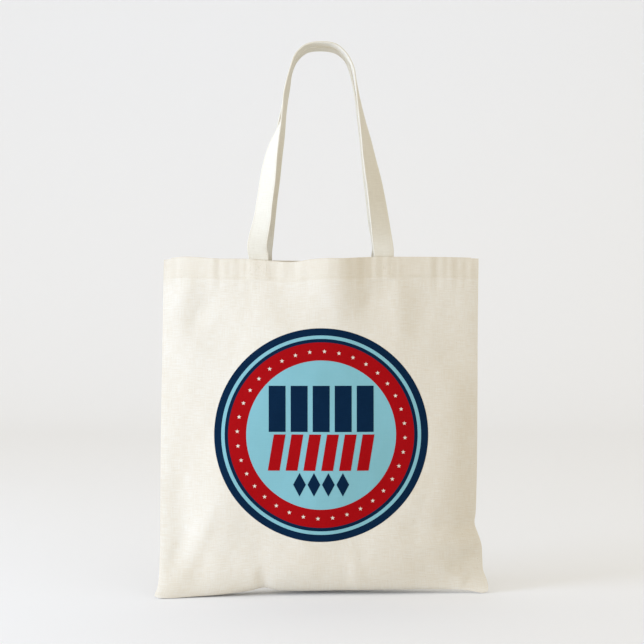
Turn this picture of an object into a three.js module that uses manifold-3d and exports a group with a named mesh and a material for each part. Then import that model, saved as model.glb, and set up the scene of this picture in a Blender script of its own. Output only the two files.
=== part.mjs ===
// Canvas tote bag with a round badge print on its front, standing with both handles up.
// Millimetres. X runs across the bag, Y from its front (-) to its back (+), Z up from the floor.
// The origin is on the floor under the middle of the bag.

import * as THREE from 'three';
import { mergeVertices } from 'three/addons/utils/BufferGeometryUtils.js';
import Module from 'manifold-3d';

const wasm = await Module();
wasm.setup();

// ---- Driving dimensions ----

const bag = {
  height: 404,
  mouthWidth: 380,
  earFlare: 10, // each lower corner reaches this much further out than the side seam above it
  earHeight: 90,
  mouthDepth: 20, // half of the bag's depth, at its middle
  bellyDepth: 30,
  baseDepth: 22,
  tuckHeight: 30, // the panels curve in to the base below this height
  lensPower: 2.2, // how the depth falls off from the middle to the side seams
  cloth: 1.2,
  seamGap: 1.6, // half of the space left between the two panels at the side seams
};
const clearance = 0.3; // between pieces that touch
const hem = { height: 25, thickness: 1.0, reach: 0.955 };
const strap = { width: 25, thickness: 1.6, spread: 75, tuckedLength: 28, top: 661 };
const seam = { width: 10, thickness: 2.2, foot: 3 };
const thread = { width: 0.8, thickness: 0.5 };
const boxStitch = { width: 19, height: 19, aboveHemLine: 3 };
const print = {
  centreZ: 192,
  film: 0.4,
  outerRadius: 127,
  paleRingOuter: 118.5,
  paleRingInner: 114.4,
  bandOuter: 110.2,
  fieldRadius: 88.6,
  stars: 36,
  starRing: 100,
  starRadius: 2.8,
  starTurn: 2.2, // degrees from the top to the first star
  starWaist: 0.42, // inner to outer radius
};
const motif = {
  uprights: { count: 5, width: 20, height: 55, pitch: 26, bottom: 3.5 },
  slants: { count: 6, width: 14, height: 43, pitch: 21, lean: 7, bottom: -42.5 },
  diamonds: { count: 4, width: 15, height: 28, pitch: 17, bottom: -73 },
};
const colours = {
  canvas: 0xeee7d6,
  strap: 0xece6d4,
  thread: 0xe2d9c3,
  navy: 0x12294b,
  red: 0xa31620,
  pale: 0x88c3d0,
};

const FRONT = -1;
const BACK = 1;

// ---- The cloth's outer shape ----

// Half of the bag's width at a height.
function halfWidth(z) {
  const flare = Math.max(0, 1 - z / bag.earHeight);
  return bag.mouthWidth / 2 + bag.earFlare * flare * flare;
}

// Half of the bag's depth at its middle, at a height.
function middleDepth(z) {
  const rise = z / bag.height;
  const depth = bag.mouthDepth + (bag.bellyDepth - bag.mouthDepth) * (1 - rise * rise);
  const base = bag.baseDepth / bag.bellyDepth;
  const up = Math.min(1, z / bag.tuckHeight);
  return depth * (base + (1 - base) * Math.sqrt(1 - (1 - up) * (1 - up)));
}

// Distance from the bag's middle plane to the inner face of either panel.
function innerFace(x, z) {
  const across = Math.min(1, Math.abs(x) / halfWidth(z));
  return bag.seamGap + middleDepth(z) * (1 - Math.pow(across, bag.lensPower));
}

const outerFace = (x, z) => innerFace(x, z) + bag.cloth;

// ---- Helpers ----

// Moves each vertex of a geometry to where place(vertex) puts it.
function bend(geometry, place) {
  const positions = geometry.getAttribute('position');
  const point = new THREE.Vector3();
  for (let i = 0; i < positions.count; i++) {
    point.fromBufferAttribute(positions, i);
    place(point);
    positions.setXYZ(i, point.x, point.y, point.z);
  }
  geometry.computeVertexNormals();
  return geometry;
}

function toSolid(geometry) {
  const bare = geometry.clone();
  bare.deleteAttribute('normal');
  bare.deleteAttribute('uv');
  const merged = mergeVertices(bare, 1e-4);
  return new wasm.Manifold(
    new wasm.Mesh({
      numProp: 3,
      vertProperties: new Float32Array(merged.attributes.position.array),
      triVerts: new Uint32Array(merged.index.array),
    }),
  );
}

function toGeometry(solid) {
  const { vertProperties, triVerts } = solid.getMesh();
  return new THREE.BufferGeometry()
    .setAttribute('position', new THREE.BufferAttribute(vertProperties, 3))
    .setIndex(new THREE.BufferAttribute(triVerts, 1));
}

function piece(name, geometry, color, roughness = 0.95) {
  const material = new THREE.MeshStandardMaterial({ color, roughness, metalness: 0 });
  const mesh = new THREE.Mesh(geometry, material);
  mesh.name = name;
  return mesh;
}

// A slab that lies along a panel. Before bending its X and Z are places on the panel, and its Y runs
// from 0, on the side nearer the bag's middle plane, outwards. start is the distance of that side
// from the panel's inner face.
function alongPanel(geometry, side, start) {
  bend(geometry, (p) => {
    p.y = side * (innerFace(p.x, p.z) + start + p.y);
  });
  if (side === FRONT) flipFaces(geometry);
  return geometry;
}

// Turns the faces round after a mirroring.
function flipFaces(geometry) {
  if (!geometry.index) {
    const positions = geometry.getAttribute('position');
    const corner = new THREE.Vector3();
    const other = new THREE.Vector3();
    for (let i = 0; i < positions.count; i += 3) {
      corner.fromBufferAttribute(positions, i + 1);
      other.fromBufferAttribute(positions, i + 2);
      positions.setXYZ(i + 1, other.x, other.y, other.z);
      positions.setXYZ(i + 2, corner.x, corner.y, corner.z);
    }
  } else {
    const order = geometry.index;
    for (let i = 0; i < order.count; i += 3) {
      const second = order.getX(i + 1);
      order.setX(i + 1, order.getX(i + 2));
      order.setX(i + 2, second);
    }
  }
  geometry.computeVertexNormals();
}

// A box with its lowest Y face at 0.
function sheet(width, thickness, height, acrossSteps, upSteps) {
  const box = new THREE.BoxGeometry(width, thickness, height, acrossSteps, 1, upSteps);
  return box.translate(0, thickness / 2, 0);
}

// ---- Cloth body ----

function panel(side) {
  const cloth = sheet(2, bag.cloth, bag.height, 20, 16).translate(0, 0, bag.height / 2);
  bend(cloth, (p) => {
    p.x *= halfWidth(p.z);
  });
  return alongPanel(cloth, side, 0);
}

// The part of the cloth that lies on the floor, between the feet of the two panels.
function bottomFold() {
  const cloth = new THREE.BoxGeometry(2, 2, bag.cloth, 24, 1, 1).translate(0, 0, bag.cloth / 2);
  return bend(cloth, (p) => {
    p.x *= halfWidth(0) - 2 * clearance;
    p.y *= Math.min(innerFace(p.x, 0), innerFace(p.x, bag.cloth)) - clearance;
  });
}

// The top edge, turned in and lying on the panel's inner face.
function hemFold(side) {
  const top = bag.height - 0.6;
  const cloth = sheet(2 * hem.reach, hem.thickness, hem.height, 16, 2);
  cloth.translate(0, 0, top - hem.height / 2);
  bend(cloth, (p) => {
    p.x *= halfWidth(p.z);
  });
  return alongPanel(cloth, side, -clearance - hem.thickness);
}

// The two seam allowances of a side, stitched together inside the bag.
function sideSeam(side) {
  const height = bag.height - 2 * seam.foot;
  const cloth = new THREE.BoxGeometry(seam.width, seam.thickness, height, 1, 1, 16);
  cloth.translate(-seam.width / 2 - clearance, 0, bag.height / 2);
  bend(cloth, (p) => {
    p.x += halfWidth(p.z);
  });
  return side > 0 ? cloth : cloth.rotateZ(Math.PI);
}

// ---- Handles ----

// How far a strap's middle plane lies inside the panel's inner face, under the hem.
const strapInset = hem.thickness + 2 * clearance + strap.thickness / 2;
const strapFootDepth = innerFace(strap.spread, bag.height) - strapInset;
const archDepth = strap.width / 2 + 1.5; // the two arches stand side by side, front and back

// The strap's sewn end, inside the hem.
function strapEnd(side, hand) {
  const top = bag.height - 0.6;
  const end = sheet(strap.width, strap.thickness, strap.tuckedLength, 2, 2);
  end.translate(hand * strap.spread, 0, top - strap.tuckedLength / 2);
  return alongPanel(end, side, -strapInset - strap.thickness / 2);
}

// A stretched outline of a box stitch with its two diagonals.
function boxStitching(side, hand) {
  const bar = (length, angle, x, z) => {
    const box = new THREE.BoxGeometry(length, thread.thickness, thread.width, 4, 1, 1);
    return toSolid(box.rotateY(angle).translate(x, thread.thickness / 2, z));
  };
  const { width, height } = boxStitch;
  const diagonal = Math.hypot(width, height);
  const slope = Math.atan2(height, width);
  const outline = [
    bar(width + thread.width, 0, 0, height / 2),
    bar(width + thread.width, 0, 0, -height / 2),
    bar(height, Math.PI / 2, width / 2, 0),
    bar(height, Math.PI / 2, -width / 2, 0),
    bar(diagonal, slope, 0, 0),
    bar(diagonal, -slope, 0, 0),
  ];
  const stitched = outline.reduce((all, next) => all.add(next));
  const centreZ = bag.height - hem.height + boxStitch.aboveHemLine + height / 2;
  const geometry = toGeometry(stitched).translate(hand * strap.spread, 0, centreZ);
  return alongPanel(geometry, side, bag.cloth + clearance);
}

function hemStitching(side) {
  const z = bag.height - hem.height + 1;
  const row = sheet(2 * hem.reach, thread.thickness, thread.width, 20, 1).translate(0, 0, z);
  bend(row, (p) => {
    p.x *= halfWidth(p.z);
  });
  return alongPanel(row, side, bag.cloth + clearance);
}

// The line along the middle of a front handle, from its left foot over the arch to its right foot.
const footGap = 0.4; // from the bag's top edge up to a handle's level feet
const leg = [
  [strap.spread, bag.height + footGap],
  [68, 455],
  [60.5, 510],
  [48.5, 567],
  [43.5, 603],
  [38, 630],
  [31.5, 645],
  [18, 656.5],
];
const handleLine = new THREE.CatmullRomCurve3(
  [
    ...leg.map(([x, z]) => [-x, z]),
    [0, strap.top - strap.thickness / 2],
    ...leg.map(([x, z]) => [x, z]).reverse(),
  ].map(([x, z]) => {
    const rise = (z - bag.height) / (strap.top - bag.height);
    const depth = THREE.MathUtils.lerp(strapFootDepth, archDepth, THREE.MathUtils.smoothstep(rise, 0, 1));
    return new THREE.Vector3(x, -depth, z);
  }),
  false,
  'centripetal',
);
const twistTop = 575; // above this height the strap stands edge-on

// A strap lies flat against its panel at the foot and turns a quarter on its way up each leg.
function handle(side) {
  const steps = 45;
  const ribbon = new THREE.BoxGeometry(strap.width, strap.thickness, 1, 2, 1, steps);
  const slope = (outerFace(strap.spread + 1, bag.height) - outerFace(strap.spread - 1, bag.height)) / 2;
  const footTurn = Math.atan(slope);
  bend(ribbon, (p) => {
    const [across, proud] = [p.x, p.y];
    const share = THREE.MathUtils.clamp(p.z + 0.5, 0, 1);
    const centre = handleLine.getPointAt(share);
    const along = handleLine.getTangentAt(share);
    const rise = THREE.MathUtils.smoothstep(centre.z, bag.height, twistTop);
    const turn = THREE.MathUtils.lerp(footTurn, -Math.PI / 2, rise);
    const width = new THREE.Vector3(along.z, 0, -along.x).normalize();
    width.multiplyScalar(Math.cos(turn)).setY(Math.sin(turn));
    const normal = new THREE.Vector3().crossVectors(along, width).normalize();
    p.copy(centre).addScaledVector(width, across).addScaledVector(normal, proud);
    if (share === 0 || share === 1) p.z = bag.height + footGap;
  });
  return side === FRONT ? ribbon : ribbon.rotateZ(Math.PI);
}

// ---- Badge print ----

// A flat ring or disc in the XZ plane, its lower Y face at 0, with rings of points close enough to bend.
function flatRing(inner, outer, radialSteps) {
  const radii = Array.from({ length: radialSteps + 1 }, (_, i) =>
    THREE.MathUtils.lerp(inner, outer, i / radialSteps),
  );
  const profile = [
    ...radii.map((r) => new THREE.Vector2(r, 0)),
    ...radii.toReversed().map((r) => new THREE.Vector2(r, print.film)),
  ];
  if (inner > 0) profile.push(profile[0].clone());
  return new THREE.LatheGeometry(profile, 72);
}

// A closed outline in the XZ plane, drawn out by the film's thickness.
function flatShape(points, film = print.film) {
  const outline = new THREE.Shape(points.map(([x, z]) => new THREE.Vector2(x, -z)));
  const slab = new THREE.ExtrudeGeometry(outline, { depth: film, bevelEnabled: false });
  return slab.rotateX(-Math.PI / 2);
}

function printed(geometry, layer = 0) {
  const start = bag.cloth + clearance + layer * (print.film + clearance);
  return alongPanel(geometry.translate(0, 0, print.centreZ), FRONT, start);
}

function ring(inner, outer) {
  return printed(flatRing(inner + clearance / 2, outer - clearance / 2, 1));
}

// The band has star-shaped openings, where the unprinted cloth shows.
function starBand() {
  const band = toSolid(flatRing(print.fieldRadius + clearance / 2, print.bandOuter - clearance / 2, 2));
  const tips = 10;
  const star = Array.from({ length: tips }, (_, i) => {
    const r = print.starRadius * (i % 2 ? print.starWaist : 1);
    const a = (i / tips) * 2 * Math.PI;
    return [r * Math.sin(a), r * Math.cos(a)];
  });
  const stars = Array.from({ length: print.stars }, (_, i) => {
    const angle = (i / print.stars) * 2 * Math.PI + THREE.MathUtils.degToRad(print.starTurn);
    const [x, z] = [print.starRing * Math.sin(angle), print.starRing * Math.cos(angle)];
    return toSolid(flatShape(star, 3 * print.film).translate(x, -print.film, z));
  });
  return printed(toGeometry(stars.reduce((left, next) => left.subtract(next), band)));
}

// A row of like shapes, centred across the badge.
function motifRow(name, row, colour, outline) {
  return Array.from({ length: row.count }, (_, i) => {
    const x = (i - (row.count - 1) / 2) * row.pitch;
    const points = outline(row).map(([px, pz]) => [x + px, row.bottom + pz]);
    return piece(`${name}_${i + 1}`, printed(flatShape(points), 1), colour);
  });
}

const uprightOutline = ({ width, height }) => [
  [-width / 2, 0],
  [width / 2, 0],
  [width / 2, height],
  [-width / 2, height],
];
const slantOutline = ({ width, height, lean }) => [
  [-width / 2 - lean / 2, 0],
  [width / 2 - lean / 2, 0],
  [width / 2 + lean / 2, height],
  [-width / 2 + lean / 2, height],
];
const diamondOutline = ({ width, height }) => [
  [0, 0],
  [width / 2, height / 2],
  [0, height],
  [-width / 2, height / 2],
];

// ---- Assembly ----

function badgePrint() {
  const group = new THREE.Group();
  group.add(
    piece('print_outer_ring', ring(print.paleRingOuter, print.outerRadius), colours.navy),
    piece('print_pale_ring', ring(print.paleRingInner, print.paleRingOuter), colours.pale),
    piece('print_inner_ring', ring(print.bandOuter, print.paleRingInner), colours.navy),
    piece('print_star_band', starBand(), colours.red),
    piece('print_pale_field', printed(flatRing(0, print.fieldRadius - clearance / 2, 6)), colours.pale),
    ...motifRow('print_upright', motif.uprights, colours.navy, uprightOutline),
    ...motifRow('print_slant', motif.slants, colours.red, slantOutline),
    ...motifRow('print_diamond', motif.diamonds, colours.navy, diamondOutline),
  );
  return group;
}

const tote = new THREE.Group();
tote.add(
  piece('bottom_fold', bottomFold(), colours.canvas),
  piece('left_side_seam', sideSeam(-1), colours.canvas),
  piece('right_side_seam', sideSeam(1), colours.canvas),
  badgePrint(),
);
for (const [word, side] of [['front', FRONT], ['back', BACK]]) {
  tote.add(
    piece(`${word}_panel`, panel(side), colours.canvas),
    piece(`${word}_hem_fold`, hemFold(side), colours.canvas),
    piece(`${word}_hem_stitching`, hemStitching(side), colours.thread),
    piece(`${word}_handle`, handle(side), colours.strap),
  );
  for (const [handWord, hand] of [['left', -1], ['right', 1]]) {
    tote.add(
      piece(`${word}_strap_end_${handWord}`, strapEnd(side, hand), colours.strap),
      piece(`${word}_box_stitching_${handWord}`, boxStitching(side, hand), colours.thread),
    );
  }
}

export default tote;
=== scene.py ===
"""A natural cotton tote bag with a round badge print, standing upright with both handles raised.

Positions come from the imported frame. X runs across the bag, Y from its printed front (-) to its
back (+), Z up from the floor. The shape tables below are in millimetres and are scaled to metres
as soon as they are used.
"""

import math

import bpy
import numpy as np
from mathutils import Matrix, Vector, geometry


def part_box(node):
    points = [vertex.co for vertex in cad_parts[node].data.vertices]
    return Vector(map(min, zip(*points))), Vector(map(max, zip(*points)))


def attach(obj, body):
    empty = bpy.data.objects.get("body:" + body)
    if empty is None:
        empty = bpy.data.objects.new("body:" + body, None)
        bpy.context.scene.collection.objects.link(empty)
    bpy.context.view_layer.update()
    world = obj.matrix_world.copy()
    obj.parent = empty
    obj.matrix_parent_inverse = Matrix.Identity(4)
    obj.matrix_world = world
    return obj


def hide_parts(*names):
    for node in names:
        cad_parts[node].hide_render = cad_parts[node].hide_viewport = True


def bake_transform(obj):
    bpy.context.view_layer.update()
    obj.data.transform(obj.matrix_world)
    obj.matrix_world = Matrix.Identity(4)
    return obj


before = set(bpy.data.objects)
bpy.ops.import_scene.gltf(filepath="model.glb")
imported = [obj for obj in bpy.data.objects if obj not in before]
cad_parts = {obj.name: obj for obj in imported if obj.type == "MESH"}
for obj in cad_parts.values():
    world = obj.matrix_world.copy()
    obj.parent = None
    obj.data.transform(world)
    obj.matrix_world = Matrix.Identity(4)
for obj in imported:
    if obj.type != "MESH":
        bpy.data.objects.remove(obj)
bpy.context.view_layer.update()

MM = 0.001
FRONT, BACK = "front", "back"
OUTWARD = {FRONT: -1.0, BACK: 1.0}  # the way each panel faces along Y


# ---- Sizes from the frame ----

def size_of(node):
    low, high = (np.array(corner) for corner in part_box(node))
    return high - low


panel_high = np.array(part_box("front_panel")[1]) / MM
HEIGHT = panel_high[2]
HALF_WIDTH = panel_high[0]
print_low, print_high = (np.array(corner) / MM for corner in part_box("print_outer_ring"))
PRINT_Z = (print_low[2] + print_high[2]) / 2
strap_low, strap_high = (np.array(corner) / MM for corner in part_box("front_strap_end_right"))
STRAP_X = (strap_low[0] + strap_high[0]) / 2
STRAP_WIDTH = strap_high[0] - strap_low[0]
STRAP_FOOT = strap_low[2]
ARCH_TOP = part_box("front_handle")[1][2] / MM
HEM_HEIGHT = size_of("front_hem_fold")[2] / MM

# ---- Cloth, in millimetres ----

CLOTH = 0.5  # thickness
SEAM_GAP = 0.6  # from the middle of a side seam to a panel's outer face
MOUTH_DEPTH = 20.0
BELLY_DEPTH = 29.0
BASE_SHARE = 0.38  # the base's depth, of the belly's
TUCK_HEIGHT = 36.0  # over which the panels draw in from the belly to the base
LENS_POWER = 1.75  # how the depth falls off from the middle to a side seam
CORNER_PINCH = 0.5  # the share of its depth that the bag loses in a bottom corner
CORNER_REACH = 34.0
EAR_SWELL = 5.0  # how far a bottom corner swells before it closes on the seam
EAR_HEIGHT = 60.0
RIGHT_EAR = 0.2  # the right corner's swelling, of the left one's: the bag leans on its left corner
LEFT_SWING, RIGHT_SWING = 1.4, 3.0  # how a seam's way forward dies out towards the middle
COLUMN_STEP = 2.4
ROW_STEP = 2.6
HEM_ROW_STEP = 1.0
FOOT_ROWS = 14  # closer rows where a panel turns under the bag
FOOT_ROWS_TO = 18.0
HEM_RADIUS = 0.75  # of the turn at the mouth's edge
HEM_LINE = HEIGHT - HEM_HEIGHT
BACK_SPREAD = 0.968  # the back handle's legs stand a little closer together than the front one's


# ---- Small mathematics ----

def smooth_step(value):
    value = np.clip(value, 0.0, 1.0)
    return value * value * (3 - 2 * value)


def unit(vectors):
    return vectors / np.linalg.norm(vectors, axis=-1, keepdims=True)


def smooth_through(points):
    """A smooth curve through (position, value) points, as a function of the position."""
    knots, values = np.array(sorted(points), float).T
    slopes = np.gradient(values, knots)

    def at(position):
        position = np.clip(position, knots[0], knots[-1])
        i = np.clip(np.searchsorted(knots, position) - 1, 0, len(knots) - 2)
        span = knots[i + 1] - knots[i]
        u = (position - knots[i]) / span
        keep = (1 + 2 * u) * (1 - u) ** 2
        leave = u * (1 - u) ** 2 * span
        arrive = u * u * (u - 1) * span
        held = keep * values[i] + (1 - keep) * values[i + 1]
        return held + leave * slopes[i] + arrive * slopes[i + 1]

    return at


def undulation(x, z, seed, size, waves=14):
    """Soft random waves about size apart, with a mean square of a half."""
    rng = np.random.default_rng(seed)
    total = np.zeros(np.broadcast(x, z).shape)
    for _ in range(waves):
        angle, phase = rng.uniform(0, math.tau, 2)
        pitch = size * rng.uniform(0.7, 1.5)
        total += np.cos(math.tau * (x * math.cos(angle) + z * math.sin(angle)) / pitch + phase)
    return total / math.sqrt(waves)


def fold(x, z, start, end, height, left, right, grow=0.3, fade=0.3):
    """The rise of a soft fold. Its crest runs from start down to end; left and right are its flanks'
    reaches, and grow and fade the shares of its length over which it rises and dies out."""
    (x0, z0), (x1, z1) = start, end
    length = math.hypot(x1 - x0, z1 - z0)
    run_x, run_z = (x1 - x0) / length, (z1 - z0) / length
    along = ((x - x0) * run_x + (z - z0) * run_z) / length
    aside = (z - z0) * run_x - (x - x0) * run_z
    across = np.exp(-((aside / np.where(aside < 0, left, right)) ** 2))
    return height * across * smooth_step(along / grow) * smooth_step((1 - along) / fade)


# ---- The bag's outline: (height, X) of both side seams, (X, height) of the top and bottom edges ----

left_seam = smooth_through(
    [(0, -193), (1.5, -195.5), (4, -196.8), (7, -195.8), (12, -193.8), (22, -192.6), (45, -192.4),
     (90, -193.2), (200, -193.4), (330, -191.3), (404, -190)]
)
right_seam = smooth_through(
    [(0, 197.5), (2, 200), (7, 201.4), (16, 199.8), (25, 196.6), (41, 195.6), (58, 194.2),
     (72, 189.5), (81, 186.5), (95, 187.6), (130, 188.6), (230, 189.3), (330, 189.4), (404, 190.3)]
)
bottom_edge = smooth_through(
    [(-192, 2.4), (-190.5, 1.2), (-186, 0.7), (-181, 0.6), (-167, 0.8), (-153, 1.2), (-139, 1.6),
     (-118, 2.4), (-97, 4.5), (-83, 6.3), (-68, 9.1), (-59, 6.9), (-47, 5.3), (-25, 4.4), (35, 4.6),
     (71, 4.8), (143, 5), (161, 4.4), (173, 3.2), (184, 1.1), (188, 0.9), (192, 2.4)]
)
top_edge = {
    FRONT: smooth_through(
        [(-191, 402.0), (-186, 403.2), (-120, 402.6), (-88, 402.2), (-64, 400.2), (-41, 398.4),
         (-28, 398.8), (-16, 400.8), (0, 402.2), (30, 402.5), (44, 403.4), (64, 404.5), (90, 404.7),
         (180, 404.3), (191, 404.0)]
    ),
    BACK: smooth_through(
        [(-191, 402.5), (-100, 402.2), (-40, 401.6), (40, 401.9), (100, 402.6), (191, 403.2)]
    ),
}
# How far the left and right seams stand before the middle plane (negative Y), by height.
left_seam_y = smooth_through(
    [(0, -41), (10, -39), (25, -33), (45, -24), (70, -16), (110, -9), (160, -4), (404, -1)]
)
right_seam_y = smooth_through(
    [(0, -9), (8, -4), (20, 3), (40, 8), (60, 7), (81, 9), (110, 8), (200, 5), (300, 2), (404, 0)]
)

# Each fold: its crest's start and end, its height, the reach of its left and right flanks, then the
# shares of its length over which it grows and fades.
FRONT_FOLDS = [
    ((21.5, 424), (0, 262), 14.5, 46, 36, 0.001, 0.9),  # from the mouth, where the strap pulls the hem
    ((56.5, 424), (40, 290), -1.6, 16, 20, 0.001, 0.8),
    ((89, 424), (84, 300), 1.6, 18, 22, 0.001, 0.7),
    ((-174.5, 424), (-184, 300), 1.4, 12, 22, 0.001, 0.6),
    ((98, 392), (90, 280), 2.0, 12, 16, 0.3, 0.5),
    ((62, 372), (46, 322), -1.5, 9, 11, 0.3, 0.5),
    ((-120, 366), (-172, 306), -2.0, 13, 13, 0.35, 0.45),
    ((-150, 384), (-178, 340), 1.6, 9, 12, 0.4, 0.5),
    ((-172, 190), (-166, 12), -1.8, 15, 17, 0.4, 0.2),
    ((-112, 225), (-122, 30), 2.2, 28, 24, 0.35, 0.3),
    ((-118, 122), (-190, -22), 1.8, 14, 11, 0.3, 0.05),
    ((-152, 92), (-190, 18), -0.9, 8, 8, 0.4, 0.3),
    ((-72, 46), (-63, -20), -1.1, 9, 9, 0.3, 0.01),  # the nick in the bottom edge
    ((-78, 44), (-81, -20), 1.2, 9, 8, 0.3, 0.01),
    ((36, 78), (46, -16), 1.1, 11, 9, 0.4, 0.1),
    ((28, 60), (31, -12), -0.8, 8, 8, 0.4, 0.2),
    ((158, 290), (162, 8), 6.5, 60, 24, 0.3, 0.2),
    ((187, 84), (146, 62), -2.6, 8, 10, 0.02, 0.6),  # runs in from the pucker of the right seam
    ((190, 64), (140, 78), 2.0, 8, 9, 0.02, 0.6),
    ((195, 44), (150, 34), -1.8, 8, 9, 0.02, 0.6),
    ((176, 12), (120, 44), 2.2, 11, 10, 0.1, 0.5),
    ((120, 160), (60, 30), 1.4, 24, 18, 0.4, 0.4),
]
BACK_FOLDS = [
    ((-15.5, 424), (-4, 270), 4.4, 16, 48, 0.001, 0.9),
    ((64, 398), (42, 300), 2.5, 15, 13, 0.1, 0.6),
    ((-84, 398), (-60, 290), 2.7, 15, 17, 0.1, 0.6),
    ((128, 372), (176, 300), -2.4, 12, 12, 0.3, 0.4),
    ((-130, 350), (-178, 270), 2.0, 12, 14, 0.4, 0.4),
    ((120, 110), (190, -18), 3.0, 14, 11, 0.3, 0.05),
    ((-118, 130), (-192, -18), 3.4, 13, 12, 0.3, 0.05),
    ((30, 240), (-60, 60), 3.0, 34, 26, 0.35, 0.35),
    ((-30, 70), (-38, 3), 2.0, 9, 9, 0.4, 0.1),
    ((86, 60), (94, 3), -1.6, 8, 9, 0.4, 0.1),
]


def hem_puckers(side, x, z):
    """The hem is gathered a little by its stitching, and stands proud over the sewn strap ends."""
    seed = 11 if side == FRONT else 12
    rng = np.random.default_rng(seed)
    waves = np.zeros_like(x)
    for _ in range(6):
        pitch, phase = rng.uniform(10, 30), rng.uniform(0, math.tau)
        waves = waves + np.cos(math.tau * x / pitch + phase) / 3
    inside_hem = smooth_step((z - HEM_LINE + 3) / 5)
    below = np.exp(-(((z - HEM_LINE + 6) / 9) ** 2)) * (z < HEM_LINE)
    swell = 0.34 * waves * (inside_hem + 0.6 * below)
    off = np.abs(np.abs(x) - STRAP_X * (1.0 if side == FRONT else BACK_SPREAD))
    over_strap = smooth_step((STRAP_WIDTH / 2 + 2 - off) / 2.5) * smooth_step((z - STRAP_FOOT) / 2)
    groove = -0.3 * np.exp(-(((z - HEM_LINE - 1.5) / 1.3) ** 2))
    return swell + 0.75 * over_strap + groove


def depth_at(side, s, x, z):
    """How far a panel's outer face stands from the seams' plane."""
    rise = np.clip(z / HEIGHT, 0, 1)
    middle = MOUTH_DEPTH + (BELLY_DEPTH - MOUTH_DEPTH) * (1 - rise * rise)
    up = np.clip((z - bottom_edge(x)) / TUCK_HEIGHT, 0, 1)
    middle = middle * (BASE_SHARE + (1 - BASE_SHARE) * np.sqrt(1 - (1 - up) ** 2))
    lens = 1 - np.abs(s) ** LENS_POWER
    corner = np.hypot((1 - np.abs(s)) * HALF_WIDTH, z * 0.8)
    pinch = 1 - CORNER_PINCH * np.exp(-((corner / CORNER_REACH) ** 2))
    ear = EAR_SWELL * (1 - np.abs(s) ** 22) * np.exp(-((z / EAR_HEIGHT) ** 2)) * np.abs(s) ** 3
    ear = ear * np.where(x < 0, 1.0, RIGHT_EAR)
    depth = middle * lens * pinch + ear
    outwards = -1 if side == BACK else 1
    relief = np.zeros_like(depth)
    folds = FRONT_FOLDS if side == FRONT else BACK_FOLDS
    for crest in folds:
        relief = relief + fold(x * outwards, z, *crest)
    seed = 3 if side == FRONT else 7
    relief = relief + 1.0 * undulation(x, z, seed, 95) + 0.17 * undulation(x, z, seed + 1, 34)
    relief = relief + 0.05 * undulation(x, z * 0.7, seed + 2, 13)
    near_seam = 1 - np.abs(s) ** 14
    near_base = 0.35 + 0.65 * smooth_step(up * 1.2)
    return SEAM_GAP + depth + (relief * near_base + hem_puckers(side, x, z)) * near_seam


def seam_plane(s_right, z):
    """Y of the plane between the two panels; s_right is -1 at the left seam and 1 at the right."""
    edge = np.abs(s_right) ** np.where(s_right < 0, LEFT_SWING, RIGHT_SWING)
    return edge * np.where(s_right < 0, left_seam_y(z), right_seam_y(z))


def panel_place(side, s, t):
    """A panel's outer face, in millimetres. s runs from -1 to 1 across it as seen from outside, and t
    from 0 at the bottom edge to 1 at the mouth."""
    s_right = s if side == FRONT else -s
    guess = s_right * HALF_WIDTH * 0.96
    low, high = bottom_edge(guess), top_edge[side](guess) - HEM_RADIUS
    z = low + (high - low) * t
    left, right = left_seam(z), right_seam(z)
    x = left + (right - left) * (s_right + 1) / 2
    y = seam_plane(s_right, z) + OUTWARD[side] * depth_at(side, s, x, z)
    return np.stack([x, y, z], axis=-1)


def panel_share(side, x, z):
    """The s and t of the place on a panel that stands at X and height z."""
    left, right = left_seam(z), right_seam(z)
    s_right = 2 * (x - left) / (right - left) - 1
    guess = s_right * HALF_WIDTH * 0.96
    low, high = bottom_edge(guess), top_edge[side](guess) - HEM_RADIUS
    return (s_right if side == FRONT else -s_right), (z - low) / (high - low)


# ---- Panels as grids of points ----

def grid_normals(points):
    """Unit normals of a grid whose columns run to the right and rows upwards, as seen from outside."""
    rightwards = np.gradient(points, axis=1)
    upwards = np.gradient(points, axis=0)
    return unit(np.cross(rightwards, upwards))


class Panel:
    """One panel's outer face, as a grid that other pieces can be laid on."""

    def __init__(self, side):
        self.side = side
        columns = int(2 * HALF_WIDTH / COLUMN_STEP) + 1
        self.s = np.linspace(-1, 1, columns)
        hem_start = (HEM_LINE - 8) / HEIGHT
        foot_end = FOOT_ROWS_TO / HEIGHT
        foot_rows = foot_end * np.linspace(0, 1, FOOT_ROWS) ** 1.5
        body_rows = np.linspace(foot_end, hem_start, int((hem_start - foot_end) * HEIGHT / ROW_STEP))
        hem_rows = np.linspace(hem_start, 1, int((1 - hem_start) * HEIGHT / HEM_ROW_STEP) + 1)
        self.t = np.concatenate([foot_rows, body_rows[1:], hem_rows[1:]])
        grid_s, grid_t = np.meshgrid(self.s, self.t)
        self.points = panel_place(side, grid_s, grid_t) * MM
        self.normals = grid_normals(self.points)

    def lookup(self, values, s, t):
        column = np.clip(np.interp(s, self.s, np.arange(len(self.s))), 0, len(self.s) - 1.001)
        row = np.clip(np.interp(t, self.t, np.arange(len(self.t))), 0, len(self.t) - 1.001)
        j, i = column.astype(int), row.astype(int)
        u, v = (column - j)[..., None], (row - i)[..., None]
        below = values[i, j] * (1 - u) + values[i, j + 1] * u
        above = values[i + 1, j] * (1 - u) + values[i + 1, j + 1] * u
        return below * (1 - v) + above * v

    def on(self, x, z, proud=0.0):
        """Points in metres and normals over the places X and z, standing proud by so many mm."""
        s, t = panel_share(self.side, np.asarray(x, float), np.asarray(z, float))
        points = self.lookup(self.points, s, t)
        normals = unit(self.lookup(self.normals, s, t))
        return points + normals * proud * MM, normals


# ---- Meshes ----

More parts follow.
